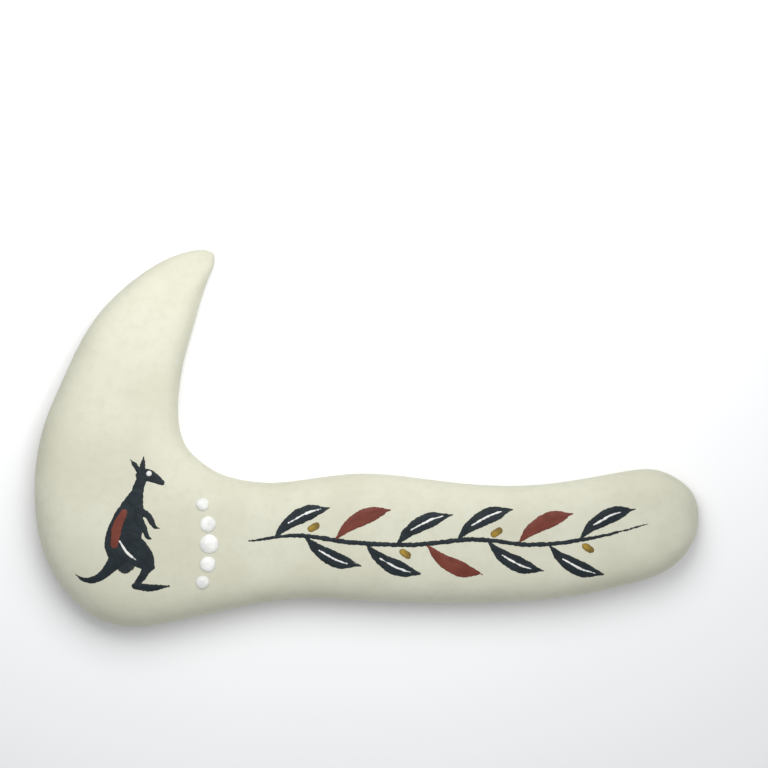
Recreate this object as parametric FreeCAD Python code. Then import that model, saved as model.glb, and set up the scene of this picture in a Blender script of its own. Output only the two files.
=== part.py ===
"""Hook boomerang: a small cast souvenir with a hand-painted front and two magnets set in its flat back.

The frame: it lies on its back on z = 0, painted side up. +X runs along the handle to its round
end, +Y along the hook's blade, and the origin is the middle of its footprint. Sizes are in mm.

The casting is a pillow: its outline is one closed curve, each station across it carries the same
squared arch, and its height follows the local width, so that it thins towards the tip of the
hook. The paint is thin films of acrylic that lie on the arched front, one node for each mark.
"""

import FreeCAD
import Part
import math
import os

V = FreeCAD.Vector

# The casting
FULL_HEIGHT = 9.2  # what a very wide stretch would reach
HALF_WIDTH_AT_71_PERCENT = 6.0  # half width at which the height is 71% of that
BACK_EDGE_ROUNDING = 0.8  # share of the height law, so that it fades out with the height
SQUARENESS = 3.8  # of the section: 2 is an ellipse, more is squarer
ROWS_ALONG = 61
POINTS_OVER_ARCH = 19
POINTS_ROUND_BACK_EDGE = 4

# The outline as pairs of points across the casting, outer edge and inner edge of the hook
TIP = (-20.65, 24.8)
STATIONS = [
    ((-22.2, 25.0), (-20.35, 23.4)),
    ((-25.6, 24.15), (-20.95, 21.7)),
    ((-29.4, 22.1), (-21.9, 19.1)),
    ((-33.4, 18.8), (-23.0, 15.3)),
    ((-37.3, 13.8), (-24.2, 11.2)),
    ((-40.4, 7.5), (-25.0, 7.0)),
    ((-42.9, 1.4), (-25.2, 3.4)),
    ((-44.0, -6.0), (-24.9, 1.0)),
    ((-43.3, -13.5), (-24.3, -0.7)),
    ((-40.2, -20.0), (-23.3, -2.1)),
    ((-34.5, -24.45), (-22.0, -3.2)),
    ((-27.5, -24.65), (-20.2, -4.4)),
    ((-19.5, -22.9), (-17.3, -5.4)),
    ((-11.8, -21.5), (-12.3, -5.9)),
    ((-2.5, -21.4), (-2.4, -4.8)),
    ((8.0, -21.8), (8.0, -5.5)),
    ((18.5, -21.6), (18.5, -6.35)),
    ((27.0, -20.9), (27.0, -5.7)),
    ((34.0, -19.4), (34.4, -4.4)),
    ((39.0, -17.8), (38.6, -4.3)),
    ((42.3, -15.1), (42.1, -6.1)),
    ((43.65, -12.7), (43.55, -8.0)),
]
HANDLE_END = (44.0, -10.4)

# The magnets, each in its own round pocket, flush with the back
MAGNET_RADIUS = 6.0
MAGNET_LENGTH = 3.0
GLUE_THICKNESS = 0.25
POCKET_CLEARANCE = 0.2  # all round the magnet, filled by the glue too
GLUE_STOPS_SHORT = 0.35  # of the back
MAGNET_CENTRES = {"elbow": (-32.6, -11.6), "handle": (21.0, -13.8)}

# The paint films
BRUSHED_FILM = 0.10
SECOND_COAT_FILM = 0.15
DOT_FILM = 0.35
LARGEST_DOT_RADIUS = 1.22
EYE_RADIUS = 0.36
BRUSH_SIDE_POINTS = 4  # outline points for each stretch of a brush stroke
ABOVE_ALL = 2 * FULL_HEIGHT
SMALLEST_FLECK = 0.02  # square mm of paint; less, left between two later marks, is covered

# Brush strokes: points along the middle of a stroke, each (x, y, width)
KANGAROO_HEAD = [
    [(-26.9, -5.7, 0.7), (-27.8, -5.2, 1.2), (-28.9, -4.7, 1.6), (-29.7, -4.8, 1.4)],
    [(-29.5, -5.1, 1.3), (-30.0, -6.6, 1.5), (-30.4, -7.9, 1.9)],
]
KANGAROO_EARS = [
    [(-29.4, -4.3, 0.6), (-29.4, -3.4, 0.7), (-29.3, -2.2, 0.12)],
    [(-29.8, -4.4, 0.6), (-30.4, -3.5, 0.7), (-31.1, -2.6, 0.12)],
]
KANGAROO_TRUNK = [
    [(-30.3, -7.6, 1.9), (-30.9, -9.4, 3.2), (-31.6, -11.6, 4.3), (-32.0, -14.0, 4.8), (-31.6, -15.9, 3.6)],
]
KANGAROO_ARMS = [
    [(-30.0, -9.2, 1.1), (-28.6, -10.2, 0.85), (-27.9, -11.4, 0.65), (-27.2, -11.7, 0.2)],
    [(-30.1, -10.3, 1.1), (-29.3, -11.6, 0.8), (-28.8, -12.8, 0.6), (-28.2, -13.1, 0.2)],
]
KANGAROO_HIND_LEG = [
    [(-31.2, -14.0, 3.8), (-29.6, -15.4, 3.0), (-28.5, -16.7, 1.5)],
    [(-28.6, -16.7, 1.25), (-29.5, -18.1, 1.0), (-30.1, -18.9, 0.95)],
    [(-30.4, -19.3, 0.9), (-28.3, -19.5, 0.95), (-26.0, -19.3, 0.3)],
]
KANGAROO_TAIL = [
    [(-32.6, -15.4, 2.2), (-33.8, -17.0, 1.5), (-35.4, -18.3, 1.0), (-37.0, -18.5, 0.65), (-38.3, -17.8, 0.15)],
]
KANGAROO_RED_PATCH = [
    [(-31.9, -9.6, 0.9), (-32.8, -11.8, 1.3), (-33.1, -13.8, 1.1)],
]
KANGAROO_WHITE_LINE = [
    [(-32.4, -13.4, 0.2), (-31.5, -14.8, 0.36), (-30.2, -15.9, 0.2)],
]
KANGAROO_EYE = (-28.6, -4.55)

WHITE_DOTS = [(-21.6, -8.6), (-20.9, -11.2), (-20.7, -13.8), (-20.9, -16.4), (-21.6, -18.8)]
DOT_RATIOS = (0.7, 0.85, 1.0, 0.85, 0.7)

SPRIG_STEM = [
    [
        (-15.5, -13.4, 0.2), (-9.0, -12.7, 0.55), (-2.0, -13.6, 0.6), (6.0, -13.9, 0.6),
        (14.0, -13.2, 0.6), (22.0, -13.9, 0.55), (30.0, -12.9, 0.5), (37.5, -11.0, 0.15),
    ],
]
LEAF_STEP = 4.0  # leaves stand on the stem by turns above and below
LEAF_HEIGHTS = (-13.0, -12.7, -13.3, -13.75, -13.95, -13.8, -13.3, -13.35, -13.8, -13.85, -13.25)
LEAVES = [(-12.0 + LEAF_STEP * k, height, 1 - 2 * (k % 2)) for k, height in enumerate(LEAF_HEIGHTS)]
EVERY_THIRD = [k % 3 == 2 for k in range(len(LEAVES))]


def leaf(x, y, side):
    return [
        (x, y + 0.3 * side, 0.3), (x + 1.6, y + 1.9 * side, 1.5),
        (x + 4.2, y + 3.3 * side, 2.0), (x + 7.2, y + 4.0 * side, 0.15),
    ]


def bud(x, y, side):
    return [(x + 0.6, y - 0.85 * side, 0.8), (x + 1.3, y - 1.3 * side, 1.0)]


def vein(x, y, side):
    return [(x + 1.7, y + 1.95 * side, 0.14), (x + 4.0, y + 3.2 * side, 0.28), (x + 5.9, y + 3.8 * side, 0.14)]


BLACK_LEAVES = [place for place, red in zip(LEAVES, EVERY_THIRD) if not red]
SPRIG_UPPER_LEAVES = [leaf(*place) for place in BLACK_LEAVES if place[2] > 0]
SPRIG_LOWER_LEAVES = [leaf(*place) for place in BLACK_LEAVES if place[2] < 0]
SPRIG_RED_LEAVES = [leaf(*place) for place, red in zip(LEAVES, EVERY_THIRD) if red]
SPRIG_YELLOW_BUDS = [bud(*place) for place in LEAVES[1::3]]
SPRIG_WHITE_VEINS = [vein(*place) for place in BLACK_LEAVES]

# Each painted node: its strokes and its film's thickness. Later marks lie over earlier ones.
MARKS = {
    "kangaroo_head": (KANGAROO_HEAD, BRUSHED_FILM),
    "kangaroo_ears": (KANGAROO_EARS, BRUSHED_FILM),
    "kangaroo_trunk": (KANGAROO_TRUNK, BRUSHED_FILM),
    "kangaroo_arms": (KANGAROO_ARMS, BRUSHED_FILM),
    "kangaroo_hind_leg": (KANGAROO_HIND_LEG, BRUSHED_FILM),
    "kangaroo_tail": (KANGAROO_TAIL, BRUSHED_FILM),
    "sprig_stem": (SPRIG_STEM, BRUSHED_FILM),
    "sprig_upper_leaves": (SPRIG_UPPER_LEAVES, BRUSHED_FILM),
    "sprig_lower_leaves": (SPRIG_LOWER_LEAVES, BRUSHED_FILM),
    "sprig_red_leaves": (SPRIG_RED_LEAVES, BRUSHED_FILM),
    "kangaroo_red_patch": (KANGAROO_RED_PATCH, SECOND_COAT_FILM),
    "sprig_yellow_buds": (SPRIG_YELLOW_BUDS, SECOND_COAT_FILM),
    "kangaroo_white_line": (KANGAROO_WHITE_LINE, SECOND_COAT_FILM),
    "sprig_white_veins": (SPRIG_WHITE_VEINS, SECOND_COAT_FILM),
}


# ---------------------------------------------------------------- the casting


def distance(a, b):
    return math.hypot(a[0] - b[0], a[1] - b[1])


def closed_outline():
    """The outline as one closed curve, out along the outer edge and back along the inner one, and half its
    parameter range. Both edges share their parameters, so a station's two points are t and full - t."""
    outer = [TIP] + [pair[0] for pair in STATIONS] + [HANDLE_END]
    inner = [TIP] + [pair[1] for pair in STATIONS] + [HANDLE_END]
    stations = [0.0]
    for k in range(1, len(outer)):
        step = (distance(outer[k], outer[k - 1]) + distance(inner[k], inner[k - 1])) / 2
        stations.append(stations[-1] + step)
    half = stations[-1]
    points = [V(x, y, 0) for x, y in outer + inner[-2:0:-1]]
    parameters = stations + [2 * half - t for t in stations[-2:0:-1]] + [2 * half]
    curve = Part.BSplineCurve()
    curve.interpolate(Points=points, PeriodicFlag=True, Parameters=parameters)
    return curve, half


def height_law(half_width):
    """1 for a very wide stretch, falling to 0 in step with the width where it is narrow."""
    return half_width / math.hypot(half_width, HALF_WIDTH_AT_71_PERCENT)


def arch(half_width):
    """Points (across, up) of one section's front, from back edge to back edge."""
    law = height_law(half_width)
    rounding = BACK_EDGE_ROUNDING * law
    rise = FULL_HEIGHT * law - rounding
    edge = []
    for k in range(POINTS_ROUND_BACK_EDGE):
        angle = math.pi / 2 * (1 - k / POINTS_ROUND_BACK_EDGE)
        edge.append((half_width - rounding * (1 - math.cos(angle)), rounding * (1 - math.sin(angle))))
    top = []
    for k in range(POINTS_OVER_ARCH):
        angle = math.pi * k / (POINTS_OVER_ARCH - 1)
        c, s = math.cos(angle), math.sin(angle)
        reach = (abs(c) ** SQUARENESS + abs(s) ** SQUARENESS) ** (-1 / SQUARENESS)
        top.append((half_width * reach * c, rounding + rise * reach * s))
    return edge + top + [(-across, up) for across, up in reversed(edge)]


def casting_front():
    """The front and sides as one face, closed to a point at the tip of the hook and at the handle's end."""
    curve, half = closed_outline()
    rows = []
    for k in range(ROWS_ALONG):
        t = half * (1 - math.cos(math.pi * k / (ROWS_ALONG - 1))) / 2
        outer, inner = curve.value(t), curve.value(2 * half - t)
        middle = (outer + inner) * 0.5
        reach = (outer - inner) * 0.5
        width = max(reach.Length, 1e-9)
        rows.append([middle + reach * (across / width) + V(0, 0, up) for across, up in arch(reach.Length)])
    surface = Part.BSplineSurface()
    surface.interpolate(rows)
    return surface.toShape()


def casting_blank(front):
    """The solid under the front face, before its pockets are cut."""
    rails = [edge for edge in front.Edges if not edge.Degenerated]
    back = Part.Face(Part.Wire(Part.__sortEdges__(rails)))
    shell = Part.makeShell([front, back])
    shell.sewShape()
    solid = Part.makeSolid(shell.Shells[0])
    if solid.Volume < 0:
        solid.reverse()
    return solid


def disc(centre, radius, z, length):
    return Part.makeCylinder(radius, length, V(centre[0], centre[1], z))


def magnet_parts():
    """The magnets, the glue that cups each, and the pockets that both sit in."""
    pieces, pockets = {}, []
    pocket_radius = MAGNET_RADIUS + POCKET_CLEARANCE
    pocket_depth = MAGNET_LENGTH + GLUE_THICKNESS
    for place, centre in MAGNET_CENTRES.items():
        magnet = disc(centre, MAGNET_RADIUS, 0, MAGNET_LENGTH)
        filled = disc(centre, pocket_radius, GLUE_STOPS_SHORT, pocket_depth - GLUE_STOPS_SHORT)
        pieces[place + "_magnet"] = magnet
        pieces[place + "_magnet_glue"] = filled.cut(magnet)
        pockets.append(disc(centre, pocket_radius, 0, pocket_depth))
    return pieces, pockets


# ---------------------------------------------------------------- the paint


def smooth_curve(points):
    curve = Part.BSplineCurve()
    curve.interpolate(Points=points)
    return curve


def round_end(first, last, outwards):
    """An arc across a stroke's end, bulging outwards by half the stroke's width."""
    width = (last - first).Length
    return Part.Arc(first, (first + last) * 0.5 + outwards * (width / 2), last).toShape()


def brush_stroke(points):
    """A flat face in the shape of one stroke: smooth sides at half its width, and round ends."""
    middle = smooth_curve([V(x, y, 0) for x, y, width in points])
    widths = smooth_curve([V(k, width, 0) for k, (x, y, width) in enumerate(points)])
    steps = BRUSH_SIDE_POINTS * (len(points) - 1)
    left, right, along = [], [], []
    for k in range(steps + 1):
        share = k / steps
        place = middle.FirstParameter + share * (middle.LastParameter - middle.FirstParameter)
        centre = middle.value(place)
        direction = middle.tangent(place)[0]
        across = V(-direction.y, direction.x, 0)
        width = widths.value(widths.FirstParameter + share * (widths.LastParameter - widths.FirstParameter)).y
        half = max(width, 0.1) / 2
        left.append(centre + across * half)
        right.append(centre - across * half)
        along.append(direction)
    edges = [
        smooth_curve(left).toShape(),
        round_end(left[-1], right[-1], along[-1]),
        smooth_curve(right[::-1]).toShape(),
        round_end(right[0], left[0], along[0] * -1),
    ]
    return Part.Face(Part.Wire(edges))


def union(shapes):
    joined = shapes[0]
    for shape in shapes[1:]:
        joined = joined.fuse(shape)
    return joined.removeSplitter()


def circle_face(centre, radius):
    ring = Part.Circle(V(centre[0], centre[1], 0), V(0, 0, 1), radius).toShape()
    return Part.Face(Part.Wire([ring]))


def painted_regions():
    """Each mark's flat region and film thickness, with what later marks cover cut out of the earlier ones."""
    marks = []
    for name, (strokes, film) in MARKS.items():
        marks.append((name, union([brush_stroke(points) for points in strokes]), film))
    marks.append(("kangaroo_eye", circle_face(KANGAROO_EYE, EYE_RADIUS), SECOND_COAT_FILM))
    dots = [
        circle_face(centre, LARGEST_DOT_RADIUS * ratio)
        for centre, ratio in zip(WHITE_DOTS, DOT_RATIOS)
    ]
    marks.append(("white_dots", union(dots), DOT_FILM))
    kept = []
    for k, (name, region, film) in enumerate(marks):
        for later_name, later, later_film in marks[k + 1 :]:
            if region.BoundBox.intersect(later.BoundBox):
                region = region.cut(later)
        kept.append((name, region, film))
    return kept


def film_on(front, region, thickness):
    """The film of paint over a flat region: the front's own surface there, raised by the film's thickness."""
    column = region.extrude(V(0, 0, ABOVE_ALL))
    patches = [patch for patch in front.common(column).Faces if patch.Area > SMALLEST_FLECK]
    films = [patch.extrude(V(0, 0, thickness)) for patch in patches]
    return films[0] if len(films) == 1 else Part.makeCompound(films)


def main():
    os.makedirs("parts", exist_ok=True)
    front = casting_front()
    pieces, pockets = magnet_parts()
    pieces["cast_body"] = casting_blank(front).cut(pockets)
    for name, region, thickness in painted_regions():
        pieces[name] = film_on(front, region, thickness)
    for name, shape in pieces.items():
        shape.exportStep(os.path.join("parts", name + ".step"))
        print(name, len(shape.Solids), "solids", shape.isValid(), round(shape.Volume, 3))


main()
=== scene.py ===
"""The looks of a small cast hook boomerang: its stone casting, its magnets and its hand-painted front.

The casting is remade from its CAD node with the faults of a real one: a wavy front, air holes in the
back and a chipped edge. The painting is laid stroke by stroke on a fine grid over the front. Each
stroke has brush tracks and runs dry at its end, and each mark becomes a thin closed mesh on the
casting. The painting is a plain design: an upright kangaroo, a row of dots and a sprig of leaves.
Sizes are in mm until a mesh is made, and meshes are in metres.
"""

import math

import bmesh
import bpy
import numpy as np
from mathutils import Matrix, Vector
from mathutils.bvhtree import BVHTree


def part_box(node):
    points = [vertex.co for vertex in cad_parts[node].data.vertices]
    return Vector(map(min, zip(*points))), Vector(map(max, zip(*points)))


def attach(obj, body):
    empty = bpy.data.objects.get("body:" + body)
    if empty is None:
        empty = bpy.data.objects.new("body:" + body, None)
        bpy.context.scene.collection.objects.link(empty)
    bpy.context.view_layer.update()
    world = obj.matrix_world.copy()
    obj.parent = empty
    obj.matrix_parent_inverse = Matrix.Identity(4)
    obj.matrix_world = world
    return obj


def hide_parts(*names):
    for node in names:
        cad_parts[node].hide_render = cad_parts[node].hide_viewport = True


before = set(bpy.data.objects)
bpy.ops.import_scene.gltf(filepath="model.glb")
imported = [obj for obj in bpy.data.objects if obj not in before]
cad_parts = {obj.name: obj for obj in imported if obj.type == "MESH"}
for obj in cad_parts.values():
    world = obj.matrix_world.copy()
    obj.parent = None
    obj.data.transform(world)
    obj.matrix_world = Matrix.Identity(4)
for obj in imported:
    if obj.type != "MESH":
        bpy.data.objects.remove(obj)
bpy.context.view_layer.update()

MM = 0.001

# ---------------------------------------------------------------- sizes

CASTING_VOXEL = 0.28
MAGNET_RADIUS = 6.0
MAGNET_LENGTH = 3.0
POCKET_RADIUS = 6.2
POCKET_DEPTH = 3.25
POCKET_RIM = 0.25  # radius of its rounded rim
AIR_HOLES = [
    (-33, 12), (-37, 1), (-28, 6), (-14, -11), (-7, -18), (3, -9), (9, -17),
    (33, -12), (38, -9), (-22, -19), (-29, 19), (30, -17), (-1, -13), (-40, -7),
]
BROAD_SWELL = 0.07
FINE_SWELL = 0.02
CHIP_DEPTH = 0.22

# The art grid, over the painted part of the front
PITCH = 0.07
ART_LOW = (-42.5, -23.5)
ART_HIGH = (45.5, -1.5)
STROKE_MARGIN = 0.4
STROKE_STEP = 0.12
EDGE_WOBBLE = 0.08
EDGE_JAG = 0.10
NARROW_END = 0.65  # a stroke that ends narrower than this runs dry
DRY_END = 1.5
WET_END = 0.3

FIRST_COAT = 0.06
SECOND_COAT = 0.08
THIN_EDGE = 0.3
EMBED = 0.03
DOT_HEIGHT = 0.42
EYE_HEIGHT = 0.16
LARGEST_DOT = 1.22
EYE_RADIUS = 0.36
SEED_STEP = 10  # a stroke or dot uses the seeds up to the next one's

# The camera and the room
LENS = 180
SENSOR_WIDTH = 36
VIEW_WIDTH = 101.8  # what the picture takes in
VIEW_HEIGHT = 2.0  # above the floor, where it takes that in
VIEW_MIDDLE = (2.19, 7.19)
ROOM_LIGHT = 0.52

# ---------------------------------------------------------------- the painting
# Points along the middle of each stroke, in the order that the brush went: (x, y, width)

KANGAROO_HEAD = [
    [(-26.9, -5.7, 0.7), (-27.8, -5.2, 1.2), (-28.9, -4.7, 1.6), (-29.7, -4.8, 1.4)],
    [(-29.5, -5.1, 1.3), (-30.0, -6.6, 1.5), (-30.4, -7.9, 1.9)],
]
KANGAROO_EARS = [
    [(-29.4, -4.3, 0.6), (-29.4, -3.4, 0.7), (-29.3, -2.2, 0.12)],
    [(-29.8, -4.4, 0.6), (-30.4, -3.5, 0.7), (-31.1, -2.6, 0.12)],
]
KANGAROO_TRUNK = [
    [
        (-30.3, -7.6, 1.9), (-30.9, -9.4, 3.2), (-31.6, -11.6, 4.3),
        (-32.0, -14.0, 4.8), (-31.6, -15.9, 3.6),
    ],
]
KANGAROO_ARMS = [
    [(-30.0, -9.2, 1.1), (-28.6, -10.2, 0.85), (-27.9, -11.4, 0.65), (-27.2, -11.7, 0.2)],
    [(-30.1, -10.3, 1.1), (-29.3, -11.6, 0.8), (-28.8, -12.8, 0.6), (-28.2, -13.1, 0.2)],
]
KANGAROO_HIND_LEG = [
    [(-31.2, -14.0, 3.8), (-29.6, -15.4, 3.0), (-28.5, -16.7, 1.5)],
    [(-28.6, -16.7, 1.25), (-29.5, -18.1, 1.0), (-30.1, -18.9, 0.95)],
    [(-30.4, -19.3, 0.9), (-28.3, -19.5, 0.95), (-26.0, -19.3, 0.3)],
]
KANGAROO_TAIL = [
    [
        (-32.6, -15.4, 2.2), (-33.8, -17.0, 1.5), (-35.4, -18.3, 1.0),
        (-37.0, -18.5, 0.65), (-38.3, -17.8, 0.15),
    ],
]
KANGAROO_RED_PATCH = [
    [(-31.9, -9.6, 0.9), (-32.8, -11.8, 1.3), (-33.1, -13.8, 1.1)],
]
KANGAROO_WHITE_LINE = [
    [(-32.4, -13.4, 0.2), (-31.5, -14.8, 0.36), (-30.2, -15.9, 0.2)],
]
KANGAROO_EYE = (-28.6, -4.55)

WHITE_DOTS = [(-21.6, -8.6), (-20.9, -11.2), (-20.7, -13.8), (-20.9, -16.4), (-21.6, -18.8)]
DOT_RATIOS = (0.7, 0.85, 1.0, 0.85, 0.7)

SPRIG_STEM = [
    [
        (-15.5, -13.4, 0.2), (-9.0, -12.7, 0.55), (-2.0, -13.6, 0.6), (6.0, -13.9, 0.6),
        (14.0, -13.2, 0.6), (22.0, -13.9, 0.55), (30.0, -12.9, 0.5), (37.5, -11.0, 0.15),
    ],
]
LEAF_STEP = 4.0  # leaves stand on the stem by turns above and below
LEAF_HEIGHTS = (-13.0, -12.7, -13.3, -13.75, -13.95, -13.8, -13.3, -13.35, -13.8, -13.85, -13.25)
LEAVES = [(-12.0 + LEAF_STEP * k, height, 1 - 2 * (k % 2)) for k, height in enumerate(LEAF_HEIGHTS)]
EVERY_THIRD = [k % 3 == 2 for k in range(len(LEAVES))]


def leaf(x, y, side):
    """A leaf's stroke from its place on the stem: side is 1 above the stem and -1 below."""
    return [
        (x, y + 0.3 * side, 0.3), (x + 1.6, y + 1.9 * side, 1.5),
        (x + 4.2, y + 3.3 * side, 2.0), (x + 7.2, y + 4.0 * side, 0.15),
    ]


def bud(x, y, side):
    """A bud across the stem from a leaf."""
    return [(x + 0.6, y - 0.85 * side, 0.8), (x + 1.3, y - 1.3 * side, 1.0)]


def vein(x, y, side):
    """A fine line along the middle of a leaf."""
    return [
        (x + 1.7, y + 1.95 * side, 0.14), (x + 4.0, y + 3.2 * side, 0.28), (x + 5.9, y + 3.8 * side, 0.14),
    ]


BLACK_LEAVES = [place for place, red in zip(LEAVES, EVERY_THIRD) if not red]
SPRIG_UPPER_LEAVES = [leaf(*place) for place in BLACK_LEAVES if place[2] > 0]
SPRIG_LOWER_LEAVES = [leaf(*place) for place in BLACK_LEAVES if place[2] < 0]
SPRIG_RED_LEAVES = [leaf(*place) for place, red in zip(LEAVES, EVERY_THIRD) if red]
SPRIG_YELLOW_BUDS = [bud(*place) for place in LEAVES[1::3]]
SPRIG_WHITE_VEINS = [vein(*place) for place in BLACK_LEAVES]

# Each mark's node, paint and strokes, in the order of painting
MARKS = [
    ("sprig_stem", "black_paint", SPRIG_STEM),
    ("sprig_upper_leaves", "black_paint", SPRIG_UPPER_LEAVES),
    ("sprig_lower_leaves", "black_paint", SPRIG_LOWER_LEAVES),
    ("sprig_red_leaves", "red_brown_paint", SPRIG_RED_LEAVES),
    ("kangaroo_ears", "black_paint", KANGAROO_EARS),
    ("kangaroo_arms", "black_paint", KANGAROO_ARMS),
    ("kangaroo_tail", "black_paint", KANGAROO_TAIL),
    ("kangaroo_trunk", "black_paint", KANGAROO_TRUNK),
    ("kangaroo_head", "black_paint", KANGAROO_HEAD),
    ("kangaroo_hind_leg", "black_paint", KANGAROO_HIND_LEG),
    ("kangaroo_red_patch", "red_brown_paint", KANGAROO_RED_PATCH),
    ("sprig_yellow_buds", "ochre_paint", SPRIG_YELLOW_BUDS),
    ("kangaroo_white_line", "white_paint", KANGAROO_WHITE_LINE),
    ("sprig_white_veins", "white_paint", SPRIG_WHITE_VEINS),
]

# ---------------------------------------------------------------- small helpers


def smooth_share(x, low, high):
    """0 below low, 1 above high, and smooth between."""
    t = np.clip((x - low) / (high - low), 0, 1)
    return t * t * (3 - 2 * t)


def noise(u, v, seed):
    """Smooth noise from 0 to 1 over (u, v), one feature per unit."""
    table = np.random.default_rng(seed).random((64, 64))
    iu, iv = np.floor(u).astype(int), np.floor(v).astype(int)
    fu, fv = u - iu, v - iv
    fu, fv = fu * fu * (3 - 2 * fu), fv * fv * (3 - 2 * fv)
    near = table[iu % 64, iv % 64] * (1 - fu) + table[(iu + 1) % 64, iv % 64] * fu
    far = table[iu % 64, (iv + 1) % 64] * (1 - fu) + table[(iu + 1) % 64, (iv + 1) % 64] * fu
    return near * (1 - fv) + far * fv


def noise_in_space(points, seed):
    """Smooth noise from -1 to 1 at points, one feature per unit."""
    x, y, z = points.T
    return 2 * (noise(x + 31, y + 0.7 * z + 17, seed) + noise(y + 43, z + 0.6 * x + 29, seed + 1)) - 2


def new_object(name, mesh):
    thing = bpy.data.objects.new(name, mesh)
    bpy.context.scene.collection.objects.link(thing)
    return thing


def applied(thing):
    """Replaces an object's mesh with what its modifiers make of it."""
    bpy.context.view_layer.update()
    graph = bpy.context.evaluated_depsgraph_get()
    mesh = bpy.data.meshes.new_from_object(thing.evaluated_get(graph))
    thing.modifiers.clear()
    thing.data = mesh
    return thing


def vertex_array(mesh, what="co"):
    """The mesh's vertices or vertex normals as an array."""
    values = np.zeros(len(mesh.vertices) * 3, np.float32)
    source = mesh.vertices if what == "co" else mesh.vertex_normals
    source.foreach_get("co" if what == "co" else "vector", values)
    return values.reshape(-1, 3).astype(float)


def finish_piece(thing, slot, material, *nodes):
    thing.data.materials.clear()
    thing.data.materials.append(material)
    thing.data.shade_smooth()
    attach(thing, "root")
    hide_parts(*nodes)
    return thing


def lathe(name, profile, centre, segments=96):
    """A closed solid turned from (radius, z) points, in mm, that start and end on the axis."""
    bm = bmesh.new()
    rings = []
    for radius, z in profile:
        if radius == 0:
            rings.append([bm.verts.new((centre[0] * MM, centre[1] * MM, z * MM))])
            continue
        ring = []
        for k in range(segments):
            angle = 2 * math.pi * k / segments
            x, y = centre[0] + radius * math.cos(angle), centre[1] + radius * math.sin(angle)
            ring.append(bm.verts.new((x * MM, y * MM, z * MM)))
        rings.append(ring)
    for low, high in zip(rings, rings[1:]):
        for k in range(segments):
            turns = ((low, k), (low, k + 1), (high, k + 1), (high, k))
            corners = [ring[turn % len(ring)] for ring, turn in turns]
            bm.faces.new(list(dict.fromkeys(corners)))
    bmesh.ops.recalc_face_normals(bm, faces=bm.faces)
    mesh = bpy.data.meshes.new(name)
    bm.to_mesh(mesh)
    bm.free()
    return new_object(name, mesh)


# ---------------------------------------------------------------- materials


class Shader:
    """A material with a Principled shader, and short ways to add nodes to it."""

    def __init__(self, name):
        self.material = bpy.data.materials.new(name)
        self.material.use_nodes = True
        self.tree = self.material.node_tree
        self.principled = self.tree.nodes["Principled BSDF"]
        self.place = self.tree.nodes.new("ShaderNodeTexCoord").outputs["Object"]

    def set(self, **values):
        for name, value in values.items():
            self.feed(self.principled.inputs[name.replace("_", " ")], value)

    def feed(self, socket, value):
        if isinstance(value, bpy.types.NodeSocket):
            self.tree.links.new(value, socket)
        elif isinstance(value, tuple) and len(value) == 3 and socket.type == "RGBA":
            socket.default_value = (*value, 1)
        else:
            socket.default_value = value

    def node(self, kind, output=0, **inputs):
        """Adds a node. Keyword arguments that it has as properties are set, and the others are inputs."""
        node = self.tree.nodes.new("ShaderNode" + kind)
        for name, value in inputs.items():
            if hasattr(node, name):
                setattr(node, name, value)
        for name, value in inputs.items():
            if not hasattr(node, name):
                key = int(name[1:]) if name[1:].isdigit() else name.replace("_", " ")
                self.feed(node.inputs[key], value)
        return node.outputs[output]

    def noise(self, size, detail=3.0, stretch=(1, 1, 1), distortion=0.0):
        """Noise with features of about a size in mm."""
        place = self.place
        if stretch != (1, 1, 1):
            place = self.node("Mapping", Vector=place, Scale=stretch)
        scale = 1 / (size * MM)
        return self.node("TexNoise", Vector=place, Scale=scale, Detail=detail, Distortion=distortion)

    def math(self, operation, a, b=0.0):
        return self.node("Math", operation=operation, i0=a, i1=b)

    def ramp(self, value, low, high, to_low=0.0, to_high=1.0):
        return self.node(
            "MapRange", interpolation_type="SMOOTHSTEP", Value=value,
            From_Min=low, From_Max=high, To_Min=to_low, To_Max=to_high,
        )

    def mix(self, share, a, b):
        """Colour a where share is 0, and b where it is 1."""
        node = self.tree.nodes.new("ShaderNodeMix")
        node.data_type = "RGBA"
        self.feed(node.inputs["Factor"], share)
        self.feed(node.inputs[6], a)
        self.feed(node.inputs[7], b)
        return node.outputs[2]

    def bump(self, height, depth, before=None):
        """Bumps of a depth in mm for a height from 0 to 1, over the bumps before."""
        node = self.tree.nodes.new("ShaderNodeBump")
        node.inputs["Strength"].default_value = 1.0
        node.inputs["Distance"].default_value = depth * MM
        self.feed(node.inputs["Height"], height)
        if before is not None:
            self.feed(node.inputs["Normal"], before)
        return node.outputs[0]


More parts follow.
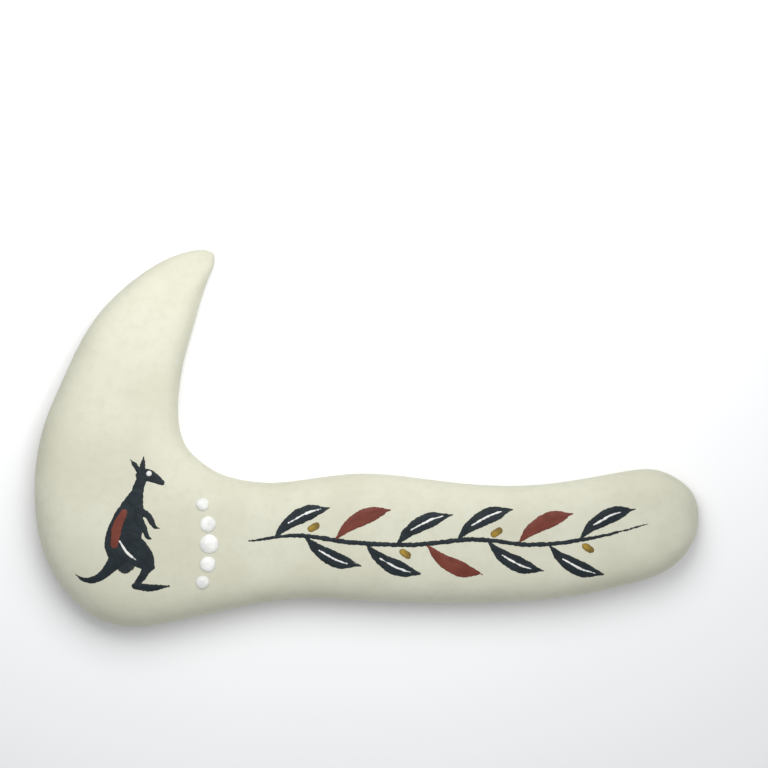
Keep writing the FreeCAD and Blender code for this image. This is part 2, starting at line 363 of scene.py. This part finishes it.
def cast_stone():
    s = Shader("cast_stone_with_cream_wash")
    clouds = s.noise(9.0, 2)
    mottle = s.noise(1.1, 4)
    grain = s.noise(0.22, 2)
    wash = s.mix(s.ramp(clouds, 0.35, 0.65), (0.560, 0.553, 0.436), (0.603, 0.598, 0.482))
    wash = s.mix(s.ramp(mottle, 0.42, 0.75, 0, 0.3), wash, (0.52, 0.507, 0.397))
    specks = s.node("TexVoronoi", Vector=s.place, Scale=1 / (1.7 * MM))
    wash = s.mix(s.ramp(specks, 0.03, 0.06, 0.25, 0), wash, (0.42, 0.38, 0.29))
    # the back and the lowest edge have no wash: bare sanded casting
    height = s.node("SeparateXYZ", 2, Vector=s.place)
    ragged = s.math("ADD", height, s.math("MULTIPLY", s.noise(0.9, 4), -0.9 * MM))
    bare = s.ramp(ragged, -0.42 * MM, -0.02 * MM, 1, 0)
    raw = s.mix(s.ramp(s.noise(2.6, 5), 0.3, 0.7), (0.43, 0.41, 0.345), (0.54, 0.52, 0.445))
    s.set(Base_Color=s.mix(bare, wash, raw))
    s.set(Roughness=s.ramp(mottle, 0.3, 0.8, 0.60, 0.76), Specular_IOR_Level=0.35)
    scratches = s.noise(0.35, 2, stretch=(1, 0.06, 1), distortion=0.3)
    relief = s.bump(clouds, 0.05)
    relief = s.bump(mottle, 0.035, relief)
    relief = s.bump(grain, 0.014, relief)
    relief = s.bump(s.math("MULTIPLY", scratches, bare), 0.05, relief)
    s.set(Normal=relief)
    return s.material


def acrylic(name, thick_colour, thin_colour, roughness, shows_through, shine, thin=0.15, full=0.65):
    """Hand-laid acrylic. The mesh's coat attribute is 1 where the paint is full and less where it is thin."""
    s = Shader(name)
    coat = s.node("Attribute", 2, attribute_name="coat")
    patchy = s.math("ADD", coat, s.math("MULTIPLY", s.math("SUBTRACT", s.noise(0.25, 3), 0.5), 0.5))
    lighter = tuple(c * 1.25 + 0.004 for c in thick_colour)
    body = s.mix(s.ramp(s.noise(1.4, 3), 0.3, 0.7), thick_colour, lighter)
    s.set(Base_Color=s.mix(s.ramp(patchy, thin, full, shows_through, 0), body, thin_colour))
    s.set(Roughness=s.ramp(s.noise(0.5, 3), 0.25, 0.75, roughness - 0.07, roughness + 0.1))
    s.set(Specular_IOR_Level=shine)
    s.set(Normal=s.bump(s.noise(0.16, 2), 0.006))
    return s.material


def ferrite():
    s = Shader("sintered_ferrite")
    mottle = s.noise(0.7, 4)
    dust = s.ramp(s.noise(0.12, 2), 0.62, 0.72)
    body = s.mix(mottle, (0.030, 0.030, 0.033), (0.075, 0.074, 0.078))
    s.set(Base_Color=s.mix(s.math("MULTIPLY", dust, 0.35), body, (0.25, 0.24, 0.22)))
    s.set(Roughness=s.ramp(mottle, 0.3, 0.7, 0.38, 0.55), Metallic=0.25)
    grinding = s.noise(0.14, 2, stretch=(0.04, 1, 1), distortion=0.2)
    s.set(Normal=s.bump(s.noise(0.18, 3), 0.01, s.bump(grinding, 0.012)))
    return s.material


def epoxy():
    s = Shader("clear_yellowed_glue")
    s.set(Base_Color=s.mix(s.noise(0.8, 3), (0.50, 0.40, 0.19), (0.70, 0.62, 0.38)))
    s.set(Roughness=s.ramp(s.noise(0.3, 2), 0.3, 0.7, 0.12, 0.3), Coat_Weight=0.5)
    s.set(Normal=s.bump(s.noise(0.5, 3), 0.03))
    return s.material


def floor_card():
    s = Shader("pale_floor")
    s.set(Base_Color=s.mix(s.noise(30, 2), (0.90, 0.90, 0.90), (0.92, 0.92, 0.92)), Roughness=0.9)
    return s.material


# ---------------------------------------------------------------- the casting


def magnet_centre(place):
    low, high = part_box(place + "_magnet")
    middle = (low + high) / 2 / MM
    return middle.x, middle.y


def cast_body(material):
    """The casting, remade in even facets with its pockets filled, made uneven, then cut again."""
    body = new_object("casting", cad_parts["cast_body"].data.copy())
    bm = bmesh.new()
    bm.from_mesh(body.data)
    for place in ("elbow", "handle"):
        plug = lathe("plug", [(0, 0), (6.5, 0), (6.5, 3.5), (0, 3.5)], magnet_centre(place))
        bm.from_mesh(plug.data)
        bpy.data.objects.remove(plug)
    bm.to_mesh(body.data)
    bm.free()
    remesh = body.modifiers.new("even", "REMESH")
    remesh.mode = "VOXEL"
    remesh.voxel_size = CASTING_VOXEL * MM
    applied(body)
    smooth = body.modifiers.new("smooth", "SMOOTH")
    smooth.factor = 0.5
    smooth.iterations = 3
    applied(body)
    points = vertex_array(body.data) / MM
    normals = vertex_array(body.data, "normal")
    free = smooth_share(points[:, 2], 0.3, 2.0)
    swell = BROAD_SWELL * noise_in_space(points / 9.0, 71) + FINE_SWELL * noise_in_space(points / 2.7, 73)
    edge = (1 - smooth_share(points[:, 2], 0.2, 1.1)) * np.clip(1 - np.abs(normals[:, 2]), 0, 1)
    chips = np.clip(noise_in_space(points / 1.6, 75) - 0.25, 0, 1)
    points += normals * (swell * free - CHIP_DEPTH * chips * edge)[:, None]
    points[:, 2] = np.maximum(points[:, 2], 0)
    body.data.vertices.foreach_set("co", (points * MM).astype(np.float32).ravel())
    body.data.update()
    cut_pockets(body)
    return finish_piece(body, "cast_stone", material, "cast_body")


def cut_pockets(body):
    """Cuts the magnets' pockets, with a cast-round rim, and the air holes in the back."""
    cutters = []
    rim = [(0, POCKET_DEPTH), (POCKET_RADIUS, POCKET_DEPTH), (POCKET_RADIUS, POCKET_RIM)]
    for a in (0.5, 1.0, 1.4):
        rim.append((POCKET_RADIUS + POCKET_RIM * (1 - math.cos(a)), POCKET_RIM - POCKET_RIM * math.sin(a)))
    rim += [(POCKET_RADIUS + 0.6, -0.4), (0, -0.4)]
    for place in ("elbow", "handle"):
        cutters.append(lathe("pocket", rim, magnet_centre(place)))
    rng = np.random.default_rng(5)
    for x, y in AIR_HOLES:
        dx, dy, size = rng.uniform(-1.5, 1.5), rng.uniform(-1.5, 1.5), rng.uniform(0.18, 0.5)
        arc = [(size * math.sin(a), size * (1.2 * math.cos(a) - 0.35)) for a in np.linspace(0, math.pi, 8)]
        hole = [(0, arc[0][1])] + arc[1:-1] + [(0, arc[-1][1])]
        cutters.append(lathe("air_hole", hole, (x + dx, y + dy), 16))
    for cutter in cutters:
        cut = body.modifiers.new("cut", "BOOLEAN")
        cut.operation = "DIFFERENCE"
        cut.solver = "EXACT"
        cut.object = cutter
    applied(body)
    for cutter in cutters:
        bpy.data.objects.remove(cutter)


def magnet(place, material):
    """A ferrite disc with ground faces, worn corners and small chips at the rim."""
    corner = 0.18
    radius = MAGNET_RADIUS
    profile = [(r, 0.02) for r in (0, 2, 4, 5.1, 5.3, 5.5, 5.65, radius - corner)]
    profile += [(radius, corner), (radius, 1.5), (radius, MAGNET_LENGTH - corner)]
    profile += [(radius - corner, MAGNET_LENGTH), (0, MAGNET_LENGTH)]
    disc = lathe(place + "_magnet_disc", profile, magnet_centre(place), 144)
    points = vertex_array(disc.data) / MM
    middle = np.array([*magnet_centre(place), 1.5])
    outwards = points - middle
    reach = np.hypot(outwards[:, 0], outwards[:, 1])
    at_rim = smooth_share(reach, radius - 0.5, radius - 0.1) * (1 - smooth_share(points[:, 2], 0.1, 0.6))
    chips = np.clip(noise_in_space(points / 0.8, 91) - 0.35, 0, 1)
    points[:, :2] -= outwards[:, :2] / np.maximum(reach, 1)[:, None] * (0.35 * chips * at_rim)[:, None]
    points[:, 2] += 0.25 * chips * at_rim
    disc.data.vertices.foreach_set("co", (points * MM).astype(np.float32).ravel())
    finish_piece(disc, "ferrite", material, place + "_magnet")
    disc.data.set_sharp_from_angle(angle=math.radians(30))
    return disc


def glue(place, material):
    """Glue over the magnet and up round its side, with an uneven bead where it was squeezed out."""
    inner, outer = MAGNET_RADIUS + 0.01, POCKET_RADIUS - 0.01
    low = 0.35
    profile = [(0, MAGNET_LENGTH + 0.01), (inner, MAGNET_LENGTH + 0.01), (inner, low)]
    profile += [((inner + outer) / 2, low - 0.12), (outer, low)]
    profile += [(outer, POCKET_DEPTH - 0.01), (0, POCKET_DEPTH - 0.01)]
    cup = lathe(place + "_glue_cup", profile, magnet_centre(place), 144)
    points = vertex_array(cup.data) / MM
    lip = 1 - smooth_share(points[:, 2], low, low + 0.2)
    points[:, 2] += 0.2 * lip * noise_in_space(points / 2.0, 95)
    cup.data.vertices.foreach_set("co", (points * MM).astype(np.float32).ravel())
    return finish_piece(cup, "glue", material, place + "_magnet_glue")


# ---------------------------------------------------------------- laying paint


class Canvas:
    """The art grid over the front: where its surface is, which way it faces, and the paint so far."""

    def __init__(self, casting):
        self.xs = np.arange(ART_LOW[0], ART_HIGH[0], PITCH)
        self.ys = np.arange(ART_LOW[1], ART_HIGH[1], PITCH)
        self.paint = np.zeros((len(self.xs), len(self.ys)))
        graph = bpy.context.evaluated_depsgraph_get()
        tree = BVHTree.FromObject(casting, graph)
        height = np.full(self.paint.shape, np.nan)
        down = Vector((0, 0, -1))
        for i, x in enumerate(self.xs):
            for j, y in enumerate(self.ys):
                hit = tree.ray_cast(Vector((x * MM, y * MM, 0.03)), down)[0]
                if hit is not None:
                    height[i, j] = hit.z / MM
        known = ~np.isnan(height)
        share = blurred(known.astype(float), 3)
        self.height = blurred(np.where(known, height, 0), 3) / np.maximum(share, 1e-6)
        slope_x, slope_y = np.gradient(self.height, PITCH)
        steep = np.sqrt(1 + slope_x**2 + slope_y**2)
        self.normal = np.stack([-slope_x / steep, -slope_y / steep, 1 / steep], axis=-1)

    def sample(self, grid, x, y):
        """A grid's values at points between its own."""
        u = np.clip((x - ART_LOW[0]) / PITCH, 0, len(self.xs) - 1.001)
        v = np.clip((y - ART_LOW[1]) / PITCH, 0, len(self.ys) - 1.001)
        i, j = u.astype(int), v.astype(int)
        fu, fv = u - i, v - j
        if grid.ndim == 3:
            fu, fv = fu[:, None], fv[:, None]
        near = grid[i, j] * (1 - fu) + grid[i + 1, j] * fu
        far = grid[i, j + 1] * (1 - fu) + grid[i + 1, j + 1] * fu
        return near * (1 - fv) + far * fv

    def window(self, low, high):
        """The part of the grid between two corners, as a pair of slices."""
        i0, j0 = (max(0, int((low[k] - ART_LOW[k]) / PITCH)) for k in (0, 1))
        i1 = min(len(self.xs), int((high[0] - ART_LOW[0]) / PITCH) + 2)
        j1 = min(len(self.ys), int((high[1] - ART_LOW[1]) / PITCH) + 2)
        return slice(i0, i1), slice(j0, j1)


def blurred(grid, passes):
    for _ in range(passes):
        for axis in (0, 1):
            grid = (np.roll(grid, 1, axis) + 2 * grid + np.roll(grid, -1, axis)) / 4
    return grid


class Mark:
    """One mark: how far each grid point is inside its edge, in mm, and how thick the paint is there."""

    def __init__(self, canvas, coat, is_first):
        self.canvas = canvas
        self.coat = coat
        self.is_first = is_first
        self.field = np.full(canvas.paint.shape, -9.0)
        self.thick = np.full(canvas.paint.shape, THIN_EDGE * coat)

    def add(self, window, field, thick):
        inside = field > 0
        self.thick[window] = np.where(inside, np.maximum(self.thick[window], thick), self.thick[window])
        self.field[window] = np.maximum(self.field[window], field)


def centre_line(points):
    """Points about a stroke step apart on a smooth line through a stroke's own points, each (x, y, width)."""
    p = np.array(points, float)
    p = np.vstack([2 * p[0] - p[1], p, 2 * p[-1] - p[-2]])
    line = []
    for a, b, c, d in zip(p, p[1:], p[2:], p[3:]):
        count = max(2, int(math.dist(b[:2], c[:2]) / STROKE_STEP))
        t = (np.arange(count) / count)[:, None]
        bend, twist = 2 * a - 5 * b + 4 * c - d, 3 * b - a - 3 * c + d
        line.append(0.5 * (2 * b + (c - a) * t + bend * t**2 + twist * t**3))
    return np.vstack(line + [p[-2:-1]])


def lay_stroke(mark, points, seed):
    canvas = mark.canvas
    line = centre_line(points)
    steps = np.hypot(*np.diff(line[:, :2], axis=0).T)
    reached = np.concatenate([[0], np.cumsum(steps)])
    total = reached[-1]
    margin = line[:, 2].max() / 2 + STROKE_MARGIN
    window = canvas.window(line[:, :2].min(0) - margin, line[:, :2].max(0) + margin)
    x, y = canvas.xs[window[0], None], canvas.ys[None, window[1]]
    field = np.full((x.shape[0], y.shape[1]), -9.0)
    along, side, half = np.zeros_like(field), np.zeros_like(field), np.full_like(field, 0.1)
    for k, (a, b) in enumerate(zip(line, line[1:])):
        reach = max(a[2], b[2]) / 2 + STROKE_MARGIN
        near = canvas.window(np.minimum(a, b)[:2] - reach, np.maximum(a, b)[:2] + reach)
        part = tuple(
            slice(max(0, n.start - w.start), max(0, min(n.stop, w.stop) - w.start))
            for n, w in zip(near, window)
        )
        dx, dy = x[part[0]] - a[0], y[:, part[1]] - a[1]
        ex, ey = b[0] - a[0], b[1] - a[1]
        t = np.clip((dx * ex + dy * ey) / steps[k] ** 2, 0, 1)
        width = (a[2] + (b[2] - a[2]) * t) / 2
        inside = width - np.hypot(dx - t * ex, dy - t * ey)
        better = inside > field[part]
        from_middle = (ex * dy - ey * dx) / steps[k]
        for grid, value in (
            (field, inside), (along, reached[k] + t * steps[k]), (side, from_middle), (half, width),
        ):
            grid[part] = np.where(better, value, grid[part])
    # hairs of the brush: streaks along the stroke
    broad = noise(side / np.maximum(half, 0.15) * 3.5 + 20, along * 0.25, seed)
    streak = 0.65 * broad + 0.35 * noise(side * 7 + 40, along * 0.9, seed + 1)
    wobble = noise(along * 1.3 + 5, np.sign(side) * 3 + 9, seed + 2) - 0.5
    jag = noise(along * 4.5, side * 3 + 30, seed + 3) - 0.5
    field += EDGE_WOBBLE * wobble + EDGE_JAG * jag
    # a stroke that ends narrow runs dry, and one that ends broad is lifted off wet
    dryness = DRY_END if points[-1][2] < NARROW_END else WET_END
    dry = np.clip(1 - (total - along) / (0.22 * total + 0.6), 0, 1) ** 1.5
    field -= dryness * dry * np.maximum(half, 0.12) * np.clip(0.75 - streak, 0, 1)
    full = 1 - np.exp(-np.maximum(field, 0) / 0.12)
    thick = mark.coat * (THIN_EDGE + (1 - THIN_EDGE) * full) * (0.65 + 0.7 * streak) * (1 - 0.45 * dry)
    mark.add(window, field, thick)


def lay_dot(mark, centre, radius, height, seed):
    """A drop of thick paint set down with the end of a stick: a dome, not quite round."""
    canvas = mark.canvas
    middle = np.array(centre)
    window = canvas.window(middle - radius - 0.5, middle + radius + 0.5)
    dx, dy = canvas.xs[window[0], None] - centre[0], canvas.ys[None, window[1]] - centre[1]
    away = np.hypot(dx, dy)
    turn_x, turn_y = dx / np.maximum(away, 1e-6), dy / np.maximum(away, 1e-6)
    edge = radius * (0.95 + 0.10 * noise(7 + 1.2 * turn_x, 7 + 1.2 * turn_y, seed))
    dome = np.clip(1 - (away / edge) ** 2, 0, 1) ** 0.62
    dent = 0.10 * np.exp(-(((dx - 0.1) / (0.35 * radius)) ** 2 + ((dy + 0.1) / (0.35 * radius)) ** 2))
    mark.add(window, edge - away, 0.04 + height * (dome - dent))


def film_mesh(mark, name):
    """The mark as a thin closed mesh on the casting: cut at its edge, laid on the front and thickened."""
    canvas = mark.canvas
    inside = mark.field > 0
    cell = inside[:-1, :-1] | inside[1:, :-1] | inside[:-1, 1:] | inside[1:, 1:]
    i, j = np.nonzero(cell)
    corners = [(i, j), (i + 1, j), (i + 1, j + 1), (i, j + 1)]
    used = np.zeros(mark.field.shape, bool)
    for a, b in corners:
        used[a, b] = True
    index = np.cumsum(used.ravel()).reshape(used.shape) - 1
    ui, uj = np.nonzero(used)
    points = np.column_stack([canvas.xs[ui], canvas.ys[uj], np.maximum(mark.field[ui, uj], -1)])
    flat = bpy.data.meshes.new("flat")
    flat.from_pydata(points.tolist(), [], np.column_stack([index[a, b] for a, b in corners]).tolist())
    bm = bmesh.new()
    bm.from_mesh(flat)
    bpy.data.meshes.remove(flat)
    everything = bm.verts[:] + bm.edges[:] + bm.faces[:]
    bmesh.ops.bisect_plane(bm, geom=everything, plane_co=(0, 0, 0), plane_no=(0, 0, 1), clear_inner=True)
    drop_crumbs(bm)
    bm.verts.index_update()
    top = np.array([v.co[:2] for v in bm.verts])
    faces = [[v.index for v in f.verts] for f in bm.faces]
    rim = []
    for edge in bm.edges:
        if edge.is_boundary:
            loop = edge.link_loops[0]
            rim.append([loop.vert.index, loop.link_loop_next.vert.index])
    bm.free()
    x, y = top.T
    surface = np.column_stack([x, y, canvas.sample(canvas.height, x, y)])
    normal = canvas.sample(canvas.normal, x, y)
    under = canvas.sample(canvas.paint, x, y)
    thick = canvas.sample(mark.thick, x, y)
    upper = surface + normal * (under + thick)[:, None]
    lower = surface + normal * (under - EMBED)[:, None]
    n = len(top)
    all_faces = faces + [[v + n for v in reversed(f)] for f in faces]
    all_faces += [[b, a, a + n, b + n] for a, b in rim]
    mesh = bpy.data.meshes.new(name)
    mesh.from_pydata((np.vstack([upper, lower]) * MM).tolist(), [], all_faces)
    coat = mesh.attributes.new("coat", "FLOAT", "POINT")
    depth = thick + under if mark.is_first else thick
    coat.data.foreach_set("value", np.tile(np.clip(depth / mark.coat, 0, 1.5), 2).astype(np.float32))
    canvas.paint += np.where(inside, mark.thick, 0)
    return mesh


def drop_crumbs(bm, smallest=0.02):
    """Removes islands of less than a size in square mm, such as single flecks at a stroke's dry end."""
    seen, crumbs = set(), []
    for first in bm.faces:
        if first in seen:
            continue
        island, waiting = [], [first]
        seen.add(first)
        while waiting:
            face = waiting.pop()
            island.append(face)
            for edge in face.edges:
                for other in edge.link_faces:
                    if other not in seen:
                        seen.add(other)
                        waiting.append(other)
        if sum(f.calc_area() for f in island) < smallest:
            crumbs += island
    bmesh.ops.delete(bm, geom=crumbs, context="FACES")


def paint_everything(casting):
    canvas = Canvas(casting)
    paints = {
        "black_paint": acrylic("black_acrylic", (0.012, 0.018, 0.022), (0.11, 0.10, 0.08), 0.5, 0.3, 0.13),
        "red_brown_paint": acrylic(
            "red_brown_acrylic", (0.132, 0.029, 0.017), (0.075, 0.026, 0.02), 0.52, 0.35, 0.2
        ),
        "ochre_paint": acrylic(
            "yellow_ochre_acrylic", (0.28, 0.178, 0.020), (0.10, 0.065, 0.02), 0.5, 0.7, 0.2, 0.4, 1.0
        ),
        "white_paint": acrylic("white_acrylic", (0.66, 0.66, 0.63), (0.36, 0.37, 0.38), 0.42, 0.55, 0.5),
    }
    seed = 11
    for node, paint, strokes in MARKS:
        is_first = paint == "black_paint"
        mark = Mark(canvas, FIRST_COAT if is_first else SECOND_COAT, is_first)
        for stroke in strokes:
            lay_stroke(mark, stroke, seed)
            seed += SEED_STEP
        finish_piece(new_object("painted_" + node, film_mesh(mark, node)), paint, paints[paint], node)
    drops = {"kangaroo_eye": [(KANGAROO_EYE, EYE_RADIUS, EYE_HEIGHT)]}
    drops["white_dots"] = [(c, LARGEST_DOT * ratio, DOT_HEIGHT) for c, ratio in zip(WHITE_DOTS, DOT_RATIOS)]
    for node, dots in drops.items():
        mark = Mark(canvas, SECOND_COAT, False)
        for centre, radius, height in dots:
            lay_dot(mark, centre, radius, height, seed)
            seed += SEED_STEP
        drop = new_object("painted_" + node, film_mesh(mark, node))
        finish_piece(drop, "white_paint", paints["white_paint"], node)


# ---------------------------------------------------------------- the studio


def aim(thing, target):
    direction = Vector(target) - thing.location
    thing.rotation_euler = direction.to_track_quat("-Z", "Y").to_euler()


def studio():
    bpy.ops.mesh.primitive_plane_add(size=6, location=(0, 0, -0.00004))
    floor = bpy.context.object
    floor.name = "floor"
    floor.data.materials.append(floor_card())
    for name, place, target, size, power in (
        ("key_light", (-0.012, 0.064, 0.115), (-0.016, 0.056, 0.0), 0.11, 0.106),
        ("fill_light", (0.22, 0.08, 0.28), (0.02, 0.0, 0.0), 0.25, 0.12),
    ):
        lamp = bpy.data.lights.new(name, "AREA")
        lamp.size = size
        lamp.energy = power
        light = bpy.data.objects.new(name, lamp)
        bpy.context.scene.collection.objects.link(light)
        light.location = place
        light.visible_camera = False
        lamp.spread = math.radians(140)
        aim(light, target)
    world = bpy.data.worlds.new("soft_room")
    world.use_nodes = True
    world.node_tree.nodes["Background"].inputs["Color"].default_value = (0.95, 0.97, 1.0, 1)
    world.node_tree.nodes["Background"].inputs["Strength"].default_value = ROOM_LIGHT
    bpy.context.scene.world = world
    bpy.context.scene.view_settings.view_transform = "Standard"


def camera():
    """Straight above, with the blade up the picture, as the photograph was taken."""
    lens = bpy.data.cameras.new("camera")
    lens.lens = LENS
    lens.sensor_width = SENSOR_WIDTH
    eye = bpy.data.objects.new("camera", lens)
    bpy.context.scene.collection.objects.link(eye)
    up = VIEW_WIDTH * LENS / SENSOR_WIDTH + VIEW_HEIGHT
    eye.location = (VIEW_MIDDLE[0] * MM, VIEW_MIDDLE[1] * MM, up * MM)
    lens.clip_start = 0.01
    bpy.context.scene.camera = eye


camera()
studio()
casting = cast_body(cast_stone())
magnet_material, glue_material = ferrite(), epoxy()
for place in ("elbow", "handle"):
    magnet(place, magnet_material)
    glue(place, glue_material)
paint_everything(casting)
